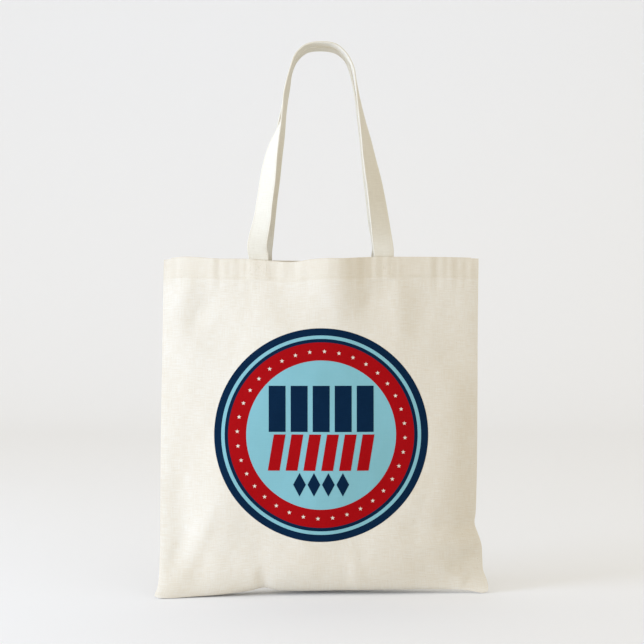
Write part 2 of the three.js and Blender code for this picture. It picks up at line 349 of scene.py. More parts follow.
def make_mesh(name, vertices, faces, uv, sharp=50.0):
    """A smooth mesh from metres; edges that turn by more than sharp degrees stay sharp."""
    mesh = bpy.data.meshes.new(name)
    corners = [[int(corner) for corner in face] for face in faces]
    mesh.from_pydata(np.asarray(vertices, float).tolist(), [], corners)
    layer = mesh.uv_layers.new(name="UVMap")
    order = np.empty(len(mesh.loops), int)
    mesh.loops.foreach_get("vertex_index", order)
    layer.data.foreach_set("uv", np.asarray(uv, float)[order].ravel())
    mesh.polygons.foreach_set("use_smooth", [True] * len(mesh.polygons))
    mesh.set_sharp_from_angle(angle=math.radians(sharp))
    mesh.validate()
    mesh.update()
    piece = bpy.data.objects.new(name, mesh)
    bpy.context.scene.collection.objects.link(piece)
    return piece


def grid_faces(rows, columns, start=0):
    i, j = np.meshgrid(np.arange(rows - 1), np.arange(columns - 1), indexing="ij")
    corner = (start + i * columns + j).ravel()
    return np.stack([corner, corner + 1, corner + 1 + columns, corner + columns], axis=1)


def cloth_shell(name, points, normals, uv, thickness=CLOTH * MM):
    """A closed sheet. points is its outer face as a grid, and the inner face lies a thickness below."""
    rows, columns = points.shape[:2]
    count = rows * columns
    vertices = np.concatenate([points.reshape(-1, 3), (points - normals * thickness).reshape(-1, 3)])
    outer = grid_faces(rows, columns)
    inner = outer[:, ::-1] + count
    index = np.arange(count).reshape(rows, columns)
    rim = np.concatenate([index[0, :-1], index[:-1, -1], index[-1, :0:-1], index[:0:-1, 0]])
    following = np.roll(rim, -1)
    border = np.stack([following, rim, rim + count, following + count], axis=1)
    faces = np.concatenate([outer, inner, border])
    return make_mesh(name, vertices, faces, np.tile(uv.reshape(-1, 2), (2, 1)))


# ---- Materials ----

class Nodes:
    """Adds shader nodes to a material and links them."""

    def __init__(self, material):
        material.use_nodes = True
        self.tree = material.node_tree
        self.tree.nodes.clear()

    def add(self, kind, inputs=(), **settings):
        node = self.tree.nodes.new("ShaderNode" + kind)
        for key, value in settings.items():
            setattr(node, key, value)
        for socket, value in dict(inputs).items():
            self.set(node, socket, value)
        return node

    def set(self, node, socket, value):
        if isinstance(value, bpy.types.NodeSocket):
            self.tree.links.new(value, node.inputs[socket])
        else:
            node.inputs[socket].default_value = value

    def math(self, operation, first, second=0.0):
        node = self.add("Math", {0: first, 1: second}, operation=operation)
        return node.outputs[0]

    def mix(self, share, first, second):
        node = self.add("Mix", {0: share, 6: first, 7: second}, data_type="RGBA")
        return node.outputs[2]

    def ramp(self, value, low, high):
        """0 at low and 1 at high, clamped."""
        settings = {"clamp": True, "interpolation_type": "SMOOTHSTEP"}
        node = self.add("MapRange", {0: value, 1: low, 2: high}, **settings)
        return node.outputs[0]

    def noise(self, vector, scale, detail=2.0, roughness=0.5):
        inputs = {"Vector": vector, "Scale": scale, "Detail": detail, "Roughness": roughness}
        return self.add("TexNoise", inputs).outputs["Fac"]

    def finish(self, inputs):
        """The surface's own shader, linked to the output."""
        surface = self.add("BsdfPrincipled", inputs)
        output = self.add("OutputMaterial")
        self.tree.links.new(surface.outputs[0], output.inputs[0])


# In metres.
WEAVE_PITCH = 0.00085  # of the yarns
WEAVE_DEPTH = 0.00022
WEAVE_WANDER = 0.0011  # how far the yarns stray from straight lines
THREAD_TURNS = 9000.0  # radians of twist in a metre of thread

HUSK = (128, 98, 62)  # the specks' display colour


def linear(colour):
    """A colour from its display values, 0 to 255."""
    shares = [value / 255 for value in colour]
    return tuple(((v + 0.055) / 1.055) ** 2.4 if v > 0.04 else v / 12.92 for v in shares) + (1.0,)


def woven(name, colour, shade, flecks=0.0, sheen=0.12, relief=0.5, gloss=0.15, painted_hem_shade=0.0):
    """Plain-woven cotton. shade is the colour of the uneven yarns and of the hollows between the yarns;
    on the canvas and the straps, where it is darker, the hollows are painted shade. flecks says how
    strongly the specks of seed husk show, and the last argument how much darker the hem is painted:
    painted shade for the light that one layer of cloth lets through and two layers do not."""
    material = bpy.data.materials.new(name)
    n = Nodes(material)
    uv = n.add("UVMap", uv_map="UVMap").outputs[0]
    wander = n.add("TexNoise", {"Vector": uv, "Scale": 90.0, "Detail": 1.0}).outputs["Color"]
    shift = n.add("VectorMath", {0: wander, 1: (0.5, 0.5, 0.5)}, operation="SUBTRACT").outputs[0]
    reach = (WEAVE_WANDER, WEAVE_WANDER, 0.0)
    bent = n.add("VectorMath", {0: shift, 1: reach, 2: uv}, operation="MULTIPLY_ADD").outputs[0]
    parts = n.add("SeparateXYZ", {0: bent})
    turns = math.tau / (2 * WEAVE_PITCH)
    warp = n.math("SINE", n.math("MULTIPLY", parts.outputs[0], turns))
    weft = n.math("SINE", n.math("MULTIPLY", parts.outputs[1], turns))
    crossings = n.math("ABSOLUTE", n.math("MULTIPLY", warp, weft))

    def yarns(across, along, seed):
        """Uneven yarns: noise drawn out along one direction."""
        stretch = n.add("Mapping", {0: uv, 1: (seed, seed * 0.7, 0.0), 3: (across, along, 1.0)})
        return n.noise(stretch.outputs[0], 1.0, 3.0, 0.6)

    slub_weft = yarns(70.0, 1150.0, 3.1)
    slub_warp = yarns(1150.0, 55.0, 8.7)
    slub = n.math("ADD", n.math("MULTIPLY", slub_weft, 0.6), n.math("MULTIPLY", slub_warp, 0.4))
    broad = n.noise(uv, 9.0, 3.0, 0.55)
    uneven = n.ramp(slub, 0.36, 0.66)
    tone = n.math("ADD", n.math("MULTIPLY", uneven, 0.5), n.math("MULTIPLY", broad, 0.5))
    base = n.mix(n.ramp(tone, 0.0, 1.0), linear(shade), linear(colour))
    # The hollows between the yarns are mixed towards the shade colour; on the canvas and the straps,
    # where it is darker, this is painted shade.
    hollow = n.ramp(crossings, 0.0, 0.5)
    hollow_share = n.math("MULTIPLY", n.math("SUBTRACT", 1.0, hollow), 0.16)
    base = n.mix(hollow_share, base, linear(shade))
    if painted_hem_shade:
        # Painted shade: cloth of two layers lets no light through, so the hem is painted darker.
        heights = n.add("SeparateXYZ", {0: uv}).outputs[1]
        hem = n.ramp(heights, (HEM_LINE - 0.4) * MM, (HEM_LINE + 0.8) * MM)
        base = n.mix(n.math("MULTIPLY", hem, painted_hem_shade), base, linear(shade))
    if flecks:
        speck = n.ramp(n.noise(uv, 760.0, 1.0, 0.4), 0.72, 0.78)
        rare = n.ramp(n.noise(uv, 130.0, 1.0, 0.5), 0.5, 0.62)
        fleck_share = n.math("MULTIPLY", n.math("MULTIPLY", speck, rare), flecks)
        base = n.mix(fleck_share, base, linear(HUSK))
    height = n.math("ADD", n.math("MULTIPLY", crossings, 0.6), n.math("MULTIPLY", slub, 0.9))
    bump = n.add("Bump", {"Strength": relief, "Distance": WEAVE_DEPTH, "Height": height})
    n.finish({
        "Base Color": base,
        "Normal": bump.outputs[0],
        "Roughness": 0.92,
        "Sheen Weight": sheen,
        "Sheen Roughness": 0.6,
        "Specular IOR Level": gloss,
    })
    return material


def twisted_thread(name, colour):
    """Two-ply sewing thread; the UV's second part runs along it."""
    material = bpy.data.materials.new(name)
    n = Nodes(material)
    uv = n.add("UVMap", uv_map="UVMap").outputs[0]
    parts = n.add("SeparateXYZ", {0: uv})
    around = n.math("MULTIPLY", parts.outputs[0], math.tau)
    along = n.math("MULTIPLY", parts.outputs[1], THREAD_TURNS)
    ply = n.math("SINE", n.math("ADD", around, along))
    fuzz = n.noise(uv, 900.0, 2.0)
    # Painted shade: the grooves between the two plies are painted darker.
    base = n.mix(n.ramp(ply, -1.0, 0.4), linear([c * 0.86 for c in colour]), linear(colour))
    height = n.math("ADD", n.math("MULTIPLY", ply, 0.5), fuzz)
    bump = n.add("Bump", {"Strength": 0.4, "Distance": 0.0001, "Height": height})
    n.finish({
        "Base Color": base,
        "Normal": bump.outputs[0],
        "Roughness": 0.8,
        "Sheen Weight": 0.15,
        "Specular IOR Level": 0.25,
    })
    return material


def ink(name, colour, shade, flecks=0.0):
    """Printing ink on the same cloth: the weave shows through, without sheen."""
    return woven(name, colour, shade, flecks, sheen=0.0, relief=0.3, gloss=0.06)


MATERIALS = {
    "canvas": woven("canvas", (229, 225, 214), (218, 208, 188), flecks=0.5, painted_hem_shade=0.42),
    "strap": woven("strap", (226, 221, 206), (215, 208, 191), flecks=0.3, relief=0.6),
    "thread": twisted_thread("thread", (236, 228, 208)),
    "ink_navy": ink("ink_navy", (4, 30, 56), (8, 36, 62)),
    "ink_red": ink("ink_red", (155, 4, 10), (160, 12, 18)),
    "ink_pale": ink("ink_pale", (124, 178, 187), (130, 182, 190), flecks=0.1),
}


def finish_piece(piece, slot, body="bag", replaces=()):
    """Material, body and replaced nodes of a piece. A piece without a body is left unattached."""
    piece.data.materials.append(MATERIALS[slot])
    if body:
        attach(piece, body)
    if replaces:
        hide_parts(*replaces)


# ---- Cloth body ----

def add_panel(panel):
    grid_s, grid_t = np.meshgrid(panel.s, panel.t)
    uv = np.stack([grid_s * HALF_WIDTH, grid_t * HEIGHT], axis=-1) * MM
    piece = cloth_shell(f"{panel.side}_cloth", panel.points, panel.normals, uv)
    finish_piece(piece, "canvas", replaces=[f"{panel.side}_panel"])


HEM_REACH = 0.962  # the share of the half width that the turned-in cloth covers
TURN_STEPS = 7
TUCK = 0.55  # how far the turned-in cloth's own lower edge folds back under


def add_hem(panel):
    """The cloth turned in over the mouth's edge, down to its own tucked edge."""
    inside = np.abs(panel.s) <= HEM_REACH
    points, normals = panel.points[:, inside], panel.normals[:, inside]
    top, out = points[-1], normals[-1]
    upwards = unit(points[-1] - points[-2])
    radius = HEM_RADIUS * MM
    rows, facing = [], []
    for angle in np.linspace(0, math.pi, TURN_STEPS):
        direction = out * math.cos(angle) + upwards * math.sin(angle)
        rows.append(top - out * radius + direction * radius)
        facing.append(direction)
    low = np.searchsorted(panel.t, HEM_LINE / HEIGHT)
    for row in range(len(panel.t) - 2, low - 1, -2):
        rows.append(points[row] - normals[row] * 2 * radius)
        facing.append(-normals[row])
    rows.append(rows[-1] + facing[-1] * -TUCK * MM)
    facing.append(facing[-1])
    columns = panel.s[inside]
    lengths = np.linspace(0, HEM_HEIGHT + 2, len(rows))
    uv = np.stack(np.meshgrid(columns * HALF_WIDTH, HEIGHT + lengths), axis=-1) * MM
    piece = cloth_shell(f"{panel.side}_hem_turn", np.array(rows), np.array(facing), uv)
    finish_piece(piece, "canvas", replaces=[f"{panel.side}_hem_fold"])


BASE_ROWS = 19
BASE_SAG = 0.15  # the share of the way to the floor that the cloth under the bag sinks
FLOOR_GAP = 0.12  # the height that the sinking is measured from


def add_bottom(front, back):
    """The part of the cloth that lies under the bag, between the feet of the two panels."""
    near, far = front.points[0], back.points[0][::-1]
    across = np.sin(np.linspace(-math.pi / 2, math.pi / 2, BASE_ROWS))[:, None, None]
    points = (far * (1 - across) + near * (1 + across)) / 2
    lift = 1 - BASE_SAG * (1 - np.abs(across[..., 0]))
    points[..., 2] = FLOOR_GAP * MM + (points[..., 2] - FLOOR_GAP * MM) * lift
    normals = grid_normals(points)
    widths = np.broadcast_to(front.s * HALF_WIDTH, points.shape[:2])
    depths = points[..., 1] / MM
    uv = np.stack([widths, depths], axis=-1) * MM
    piece = cloth_shell("bottom_cloth", points, normals, uv)
    finish_piece(piece, "canvas", replaces=["bottom_fold"])


# ---- Tubes and stitches ----

def travelled(points):
    """The distance along a line of points, from its start to each of them."""
    return np.concatenate([[0], np.cumsum(np.linalg.norm(np.diff(points, axis=0), axis=1))])


def along_line(points, run, wanted):
    """The places at the wanted distances along a line, of which run holds the distances."""
    return np.stack([np.interp(wanted, run, points[:, axis]) for axis in range(3)], axis=1)


def round_ring(sides, radius=1.0):
    angles = np.arange(sides) * math.tau / sides
    return np.stack([np.cos(angles), np.sin(angles)], axis=1) * radius


def tube(path, frame_a, frame_b, ring):
    """Vertices and faces of a closed tube. ring holds (a, b) offsets along the frame directions."""
    count, sides = len(path), len(ring)
    offsets = frame_a[:, None, :] * ring[None, :, :1] + frame_b[:, None, :] * ring[None, :, 1:]
    vertices = (path[:, None, :] + offsets).reshape(-1, 3)
    i, j = np.meshgrid(np.arange(count - 1), np.arange(sides), indexing="ij")
    first, second = i * sides + j, i * sides + (j + 1) % sides
    walls = np.stack([first, second, second + sides, first + sides], axis=-1)
    faces = walls.reshape(-1, 4).tolist()
    faces.append(list(range(sides - 1, -1, -1)))
    faces.append(list(range((count - 1) * sides, count * sides)))
    return vertices, faces


STITCH_LENGTH = 2.3
STITCH_PITCH = 3.3
STITCH_RADIUS = 0.27
STITCH_SIDES = 6
# Along a stitch: places in shares of half its length, then its girth there and how far its middle
# line stands over the cloth, both in radii.
STITCH_SHARES = np.array([-1.0, -0.6, 0.0, 0.6, 1.0])
STITCH_GIRTHS = np.array([0.3, 0.85, 1.0, 0.85, 0.3])
STITCH_RISES = np.array([-0.9, 0.1, 0.55, 0.1, -0.9])


def stitch_rows(name, rows, body="bag", replaces=()):
    """Running stitches along each row, which is (points, normals) in metres."""
    ring = round_ring(STITCH_SIDES)
    vertices, faces, uv, start = [], [], [], 0
    girths = STITCH_GIRTHS * STITCH_RADIUS * MM
    rises = STITCH_RISES * STITCH_RADIUS * MM
    for points, normals in rows:
        run = travelled(points)
        count = max(1, int(run[-1] / (STITCH_PITCH * MM)))
        for middle in (np.arange(count) + 0.5) * run[-1] / count:
            at = middle + STITCH_SHARES * STITCH_LENGTH / 2 * MM
            path = along_line(points, run, at)
            out = unit(along_line(normals, run, at))
            side = unit(np.cross(unit(path[-1] - path[0]), out))
            path = path + out * rises[:, None]
            stitch, stitch_faces = tube(path, side * girths[:, None], out * girths[:, None], ring)
            vertices.append(stitch)
            faces += [[index + start for index in face] for face in stitch_faces]
            for place in at:
                uv += [(k / STITCH_SIDES, place) for k in range(STITCH_SIDES)]
            start += len(stitch)
    piece = make_mesh(name, np.concatenate(vertices), faces, np.array(uv))
    finish_piece(piece, "thread", body=body, replaces=replaces)
    return piece


def row_on(panel, places, proud=0.0, inside=False):
    """A stitch row over (X, height) places of a panel, on its outside or its inside."""
    places = np.array(places, float)
    points, normals = panel.on(places[:, 0], places[:, 1], proud)
    return points, (-normals if inside else normals)


LINE_STEP = 2.0


def line_places(start, end):
    count = max(2, int(math.dist(start, end) / LINE_STEP) + 1)
    return np.linspace(start, end, count)


HEM_STITCH_UP = 2.2  # from the hem's lower edge
HEM_STITCH_STEP = 3.0
BOX_SIZE = 19.0
BOX_UP = 3.0
STRAP_INSET = 2.75  # from a panel's outer face to the middle of the sewn strap's thickness
STRAP_THICKNESS = 2.0


def add_hem_stitching(panel):
    side = panel.side
    reach = HEM_REACH * HALF_WIDTH - 2
    xs = np.arange(-reach, reach, HEM_STITCH_STEP)
    over_edge = top_edge[side](xs) - HEIGHT
    places = np.stack([xs, HEM_LINE + HEM_STITCH_UP + over_edge], axis=1)
    rows = [row_on(panel, places), row_on(panel, places, -2 * HEM_RADIUS, inside=True)]
    stitch_rows(f"{side}_hem_thread", rows, replaces=[f"{side}_hem_stitching"])


def add_box_stitching(panel, hand):
    """A square with both its diagonals, through the hem and the sewn end of a strap."""
    side = panel.side
    half = BOX_SIZE / 2
    spread = 1.0 if side == FRONT else BACK_SPREAD
    centre_x = (1 if hand == "right" else -1) * STRAP_X * spread
    centre_z = HEM_LINE + BOX_UP + half
    corners = [(-half, -half), (half, -half), (half, half), (-half, half)]
    order = [(0, 1), (1, 2), (2, 3), (3, 0), (0, 2), (1, 3)]
    rows = []
    for proud, inside in ((0.0, False), (-STRAP_INSET - STRAP_THICKNESS / 2, True)):
        for first, second in order:
            start = (centre_x + corners[first][0], centre_z + corners[first][1])
            end = (centre_x + corners[second][0], centre_z + corners[second][1])
            rows.append(row_on(panel, line_places(start, end), proud, inside))
    stitch_rows(f"{side}_box_thread_{hand}", rows, replaces=[f"{side}_box_stitching_{hand}"])


# ---- Side seams ----

SEAM_ALLOWANCE = 10.0
SEAM_THICKNESS = 1.0
SEAM_ROWS = 9
SEAM_STEP = 4.0
SEAM_SWAY = 0.9  # how far the raw edge sways out of the seam's plane
# The overlock thread: turns of a spiral about the raw edge.
OVERLOCK_STEPS = 10
OVERLOCK_PITCH = 2.8
OVERLOCK_REACH = 2.4
OVERLOCK_LIFT = 0.75
OVERLOCK_RADIUS = 0.2
OVERLOCK_SIDES = 5


def add_side_seam(hand):
    """The two raw edges inside a side, sewn together and bound with an overlock thread."""
    way = 1 if hand == "right" else -1
    edge = right_seam if way > 0 else left_seam
    heights = np.arange(5.0, HEIGHT - 3, SEAM_STEP)
    inwards = np.linspace(0.4, SEAM_ALLOWANCE, SEAM_ROWS)
    grid_z, grid_in = np.meshgrid(heights, inwards)
    x = edge(grid_z) - way * grid_in
    plane = seam_plane(np.full_like(grid_z, way * 1.0), grid_z)
    sway = SEAM_SWAY * undulation(grid_z, grid_z * 0, 21 + way, 42)
    sway = sway * smooth_step(grid_in / SEAM_ALLOWANCE)
    shrink = 0.5 + 0.5 * smooth_step((grid_z - 12) / 30)
    y = plane * (1 - 3 * grid_in / HALF_WIDTH) + sway * shrink
    points = np.stack([x, y, grid_z], axis=-1) * MM
    if way < 0:
        points = points[::-1]
    normals = grid_normals(points)
    thickness = SEAM_THICKNESS * MM
    uv = np.stack([grid_in, grid_z], axis=-1) * MM
    outer = points + normals * thickness / 2
    piece = cloth_shell(f"{hand}_seam_cloth", outer, normals, uv, thickness)
    finish_piece(piece, "canvas", replaces=[f"{hand}_side_seam"])
    raw_edge, beside = (points[-1], points[-2]) if way > 0 else (points[0], points[1])
    add_overlock(hand, raw_edge, beside)


def add_overlock(hand, raw_edge, beside):
    """A spiral of thread about the raw edge; beside is the next line of points in the cloth."""
    run = travelled(raw_edge)
    steps = np.arange(0, run[-1], OVERLOCK_PITCH * MM / OVERLOCK_STEPS)
    base = along_line(raw_edge, run, steps)
    into_cloth = unit(along_line(beside, run, steps) - base)
    out = unit(np.cross(into_cloth, np.array([0.0, 0.0, 1.0])))
    angle = steps / (OVERLOCK_PITCH * MM) * math.tau
    depth = OVERLOCK_REACH * MM * (1 - np.cos(angle)) - 0.3 * MM
    path = base + into_cloth * depth[:, None]
    path = path + out * (OVERLOCK_LIFT * MM * np.sin(angle))[:, None]
    tangent = unit(np.gradient(path, axis=0))
    first = unit(np.cross(tangent, np.array([0.3, 0.2, 1.0])))
    second = np.cross(tangent, first)
    ring = round_ring(OVERLOCK_SIDES, OVERLOCK_RADIUS * MM)
    vertices, faces = tube(path, first, second, ring)
    around = np.tile(np.arange(OVERLOCK_SIDES) / OVERLOCK_SIDES, len(path))
    uv = np.stack([around, np.repeat(steps * 3, OVERLOCK_SIDES)], axis=1)
    thread = make_mesh(f"{hand}_overlock_thread", vertices, faces, uv)
    finish_piece(thread, "thread")


# ---- Handles ----

# The front handle's legs, from the mouth to the arch: (X, height) of the strap's middle.
LEGS = {
    "left": [(-76, 404.4), (-69.5, 455), (-62.3, 508), (-55.5, 544), (-48, 568), (-42.6, 603),
             (-37.2, 630), (-31.5, 645), (-19.5, 656)],
    "right": [(75, 404.4), (71.6, 436), (66.9, 472), (61.8, 502), (53.9, 544), (50.3, 564),
              (45.4, 592), (42, 612), (38.2, 630), (30.5, 646), (18, 657)],
}
ARCH_DEPTH = STRAP_WIDTH / 2 + 1.5
ARCH_MIDDLE = 1.5
# Degrees that the strap has turned at a height, on the front handle's two legs.
TWIST = {
    "left": smooth_through(
        [(404, 3), (417, 9), (455, 30), (508, 41), (544, 64), (568, 86), (590, 91), (640, 90)]
    ),
    "right": smooth_through(
        [(404, 1), (417, 6), (436, 17), (472, 31), (502, 42), (544, 61), (562, 70), (592, 81),
         (630, 90)]
    ),
}
STRAP_STEP = 3.5
STRAP_EDGE = 11.55
STRAP_STITCH = 10.3
STRAP_WANDER = 0.35
# Places across the strap, closer together where it bends round its edges and into the grooves.
HALF_PROFILE = [2, 6, 9.4, 10.3, 11.2, 11.7, 12.0, 12.2, 12.3]


def strap_ring():
    """Half thicknesses across the strap: rounded edges, and a shallow groove along each stitch row."""
    across = np.array([-place for place in HALF_PROFILE[::-1]] + HALF_PROFILE)
    past = np.clip((np.abs(across) - STRAP_EDGE) / (STRAP_WIDTH / 2 - 0.15 - STRAP_EDGE), 0, 1)
    half = STRAP_THICKNESS / 2 * np.sqrt(np.clip(1 - past**2, 0.01, 1))
    half = half - 0.16 * np.exp(-(((np.abs(across) - STRAP_STITCH) / 0.6) ** 2))
    return across, half


def strap_middle(panel):
    """The strap's middle line from one sewn end to the other, and the distance along it."""
    spread = 1.0 if panel.side == FRONT else BACK_SPREAD
    turned = 1 if panel.side == FRONT else -1
    sewn = np.linspace(STRAP_FOOT, HEIGHT - 4, 5)
    left = [(-STRAP_X, z) for z in sewn] + LEGS["left"]
    right = [(STRAP_X, z) for z in sewn] + LEGS["right"]
    arch = [(ARCH_MIDDLE, ARCH_TOP - STRAP_THICKNESS / 2)]
    knots = np.array(left + arch + right[::-1], float)
    knots[:, 0] *= spread
    run = travelled(knots)
    steps = np.linspace(0, run[-1], int(run[-1] / STRAP_STEP))
    x = smooth_through(zip(run, knots[:, 0]))(steps)
    z = smooth_through(zip(run, knots[:, 1]))(steps)
    rise = smooth_step((z - HEIGHT) / (ARCH_TOP - HEIGHT))
    foot_x = np.sign(x) * STRAP_X * spread * turned
    foot, _ = panel.on(foot_x, np.minimum(z, HEIGHT - 2), -STRAP_INSET)
    foot_y = np.abs(foot[:, 1]) / MM
    y = -(foot_y * (1 - rise) + ARCH_DEPTH * rise)
    return np.stack([x, y, z], axis=1), steps


def free_strap(panel, middle, steps, ring_across, ring_out):
    """The strap's surface where it hangs free, turning about its own line."""
    x, z = middle[:, 0], middle[:, 2]
    along = np.gradient(middle, axis=0)
    along[:, 1] = 0
    along = unit(along)
    twist = np.radians(np.where(x < 0, TWIST["left"](z), TWIST["right"](z)))
    edgewise = np.cos(twist)
    width = np.stack([along[:, 2] * edgewise, -np.sin(twist), -along[:, 0] * edgewise], axis=1)
    face = np.cross(along, width)
    wander = undulation(steps, steps * 0, 31 if panel.side == FRONT else 32, 60)
    wander = STRAP_WANDER * wander * smooth_step((z - HEIGHT - 20) / 40)
    middle = middle + face * wander[:, None]
    free = middle[:, None, :] + width[:, None, :] * ring_across[None, :, None]
    free = free + face[:, None, :] * ring_out[None, :, None]
    # The back handle is the front one turned about Z.
    return free * np.array([-1, -1, 1]) if panel.side == BACK else free


def sewn_strap(panel, middle, ring_across, ring_out):
    """The strap's surface where it is sewn in: it follows the panel's inner face."""
    x, z = middle[:, 0], middle[:, 2]
    spread = 1.0 if panel.side == FRONT else BACK_SPREAD
    turned = 1 if panel.side == FRONT else -1
    rising = np.where(x < 0, 1.0, -1.0)  # the strap's width points the other way on the way down
    sewn_x = np.sign(x)[:, None] * STRAP_X * spread + rising[:, None] * ring_across[None, :]
    sewn_x = sewn_x * turned
    sewn_z = np.broadcast_to(np.minimum(z, HEIGHT - 2)[:, None], sewn_x.shape)
    base, normal = panel.on(sewn_x, sewn_z)
    outwards = rising[:, None] * ring_out[None, :] - STRAP_INSET
    base = base / MM + normal * outwards[..., None]
    base[..., 2] += np.maximum(z - (HEIGHT - 2), 0)[:, None]
    return base


def add_handle(panel):
    """A strap from its sewn end up a leg, over the arch and down to the other sewn end."""
    side = panel.side
    across, half = strap_ring()
    ring_across = np.concatenate([across, across[::-1]])
    ring_out = np.concatenate([half, -half[::-1]])
    middle, steps = strap_middle(panel)
    free = free_strap(panel, middle, steps, ring_across, ring_out)
    sewn = sewn_strap(panel, middle, ring_across, ring_out)
    loose = smooth_step((middle[:, 2] - (HEIGHT - 3)) / 16)[:, None, None]
    points = (sewn * (1 - loose) + free * loose) * MM

    count, sides = points.shape[:2]
    i, j = np.meshgrid(np.arange(count - 1), np.arange(sides), indexing="ij")
    first, second = i * sides + j, i * sides + (j + 1) % sides
    walls = np.stack([first, first + sides, second + sides, second], axis=-1)
    faces = walls.reshape(-1, 4).tolist()
    faces.append(list(range(sides)))
    faces.append(list(range(count * sides - 1, (count - 1) * sides - 1, -1)))
    wrap = np.concatenate([across, across[::-1] + 2 * STRAP_WIDTH])
    uv = np.stack(np.broadcast_arrays(wrap[None, :], steps[:, None]), axis=-1)
    uv = uv.reshape(-1, 2) * MM
    strap = make_mesh(f"{side}_handle_strap", points.reshape(-1, 3), faces, uv, sharp=70)
    hidden = [f"{side}_handle", f"{side}_strap_end_left", f"{side}_strap_end_right"]
    finish_piece(strap, "strap", body=None, replaces=hidden)
    cross_joint(strap)

    rows = []
    for offset in (-STRAP_STITCH, STRAP_STITCH):
        column = int(np.argmin(np.abs(across - offset)))
        other = 2 * len(across) - 1 - column
        front_row, back_row = points[:, column], points[:, other]
        out = unit(front_row - back_row)
        rows += [(front_row, out), (back_row, -out)]
    stitches = stitch_rows(f"{side}_handle_thread", rows, body=None)
    cross_joint(stitches)


def cross_joint(piece):
    """Bake a piece's place into its mesh; it is attached to no body."""
    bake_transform(piece)


# ---- Badge print ----

CIRCLE_STEPS = 360
FILM = 0.1
INK_LIFT = 0.16  # a print's outer face over the cloth
MOTIF_LIFT = 0.3
JOIN = 0.15  # half of the gap that the frame leaves between neighbouring rings
PRINT_STEP = 2.3
PRINT_STRETCH = 1.009  # the print is a little wider than it is high


def radius_of(node):
    return size_of(node)[0] / MM / 2


def circle(radius):
    angles = np.arange(CIRCLE_STEPS) * math.tau / CIRCLE_STEPS
    return np.stack([radius * np.sin(angles), radius * np.cos(angles)], axis=1)


def subdivided(corners):
    """A closed outline with points no further apart than the step of the print's mesh."""
    outline = []
    for start, end in zip(corners, corners[1:] + corners[:1]):
        start, end = np.array(start), np.array(end)
        count = max(1, math.ceil(math.dist(start, end) / PRINT_STEP))
        outline += [start + (end - start) * k / count for k in range(count)]
    return np.array(outline)


def inside_polygon(points, outline):
    x, z = points[:, 0], points[:, 1]
    result = np.zeros(len(points), bool)
    for (x0, z0), (x1, z1) in zip(outline, np.roll(outline, -1, axis=0)):
        crosses = (z0 > z) != (z1 > z)
        rise = z1 - z0 if z1 != z0 else 1e-12
        result ^= crosses & (x < (x1 - x0) * (z - z0) / rise + x0)
    return result


def within(outline):
    def contains(points):
        return inside_polygon(points, outline)

    return contains


def between(inner, outer):
    def contains(points):
        distance = np.hypot(points[:, 0], points[:, 1])
        return (distance > inner) & (distance < outer)

    return contains


def print_mesh(outlines, contains):
    """Points and triangles that fill what lies inside the outlines, all turned the same way."""
    border = np.concatenate(outlines)
    reach = np.abs(border).max() + PRINT_STEP
    low, high = border.min(axis=0) - PRINT_STEP, border.max(axis=0) + PRINT_STEP
    ticks = np.arange(-reach, reach, PRINT_STEP)
    grid = np.stack(np.meshgrid(ticks, ticks), axis=-1).reshape(-1, 2)
    grid = grid[(grid > low).all(axis=1) & (grid < high).all(axis=1)]
    grid = grid[contains(grid)]
    gap = np.array([np.min(np.sum((border - point) ** 2, axis=1)) for point in grid])
    grid = grid[gap > (0.45 * PRINT_STEP) ** 2]
    edges, start = [], 0
    for outline in outlines:
        count = len(outline)
        edges += [(start + k, start + (k + 1) % count) for k in range(count)]
        start += count
    flat = [Vector(point) for point in np.concatenate([border, grid])]
    spots, _, triangles, *_ = geometry.delaunay_2d_cdt(flat, edges, [], 0, 1e-5)
    spots = np.array([tuple(spot) for spot in spots])
    triangles = np.array(triangles)
    triangles = triangles[contains(spots[triangles].mean(axis=1))]
    used = np.unique(triangles)
    renumber = np.full(len(spots), -1)
    renumber[used] = np.arange(len(used))
    spots, triangles = spots[used], renumber[triangles]
    a, b, c = (spots[triangles[:, corner]] for corner in range(3))
    one, other = b - a, c - a
    turning = one[:, 0] * other[:, 1] - one[:, 1] * other[:, 0]
    triangles[turning < 0] = triangles[turning < 0][:, ::-1]
    return spots, triangles


def film(name, outlines, contains, lift=INK_LIFT):
    """A thin layer of ink on the front panel; outlines are about the badge's centre."""
    spots, triangles = print_mesh(outlines, contains)
    count = len(spots)
    x, z = spots[:, 0] * PRINT_STRETCH, spots[:, 1] + PRINT_Z
    outer, _ = front.on(x, z, lift)
    inner, _ = front.on(x, z, lift - FILM)
    sides = np.concatenate([triangles[:, pair] for pair in ([0, 1], [1, 2], [2, 0])])
    known = {(int(p), int(q)) for p, q in sides}
    rim = [(p, q) for p, q in known if (q, p) not in known]
    faces = triangles.tolist() + (triangles[:, ::-1] + count).tolist()
    faces += [[q, p, p + count, q + count] for p, q in sorted(rim)]
    uv = np.stack([x, z], axis=1) * MM
    return make_mesh(name, np.concatenate([outer, inner]), faces, np.tile(uv, (2, 1)), sharp=40)


STARS = 36
STAR_POINTS = 5
STAR_RADIUS = 2.8
STAR_WAIST = 0.42  # a star's inner corners, as a share of its radius
STAR_TURN = 2.2


def star_outlines(ring_radius):
    corners = np.arange(2 * STAR_POINTS)
    radii = np.where(corners % 2, STAR_RADIUS * STAR_WAIST, STAR_RADIUS)
    angles = corners * math.tau / len(corners)
    shape = np.stack([radii * np.sin(angles), radii * np.cos(angles)], axis=1)
    outlines = []
    for k in range(STARS):
        angle = k * math.tau / STARS + math.radians(STAR_TURN)
        outlines.append(shape + [ring_radius * math.sin(angle), ring_radius * math.cos(angle)])
    return outlines


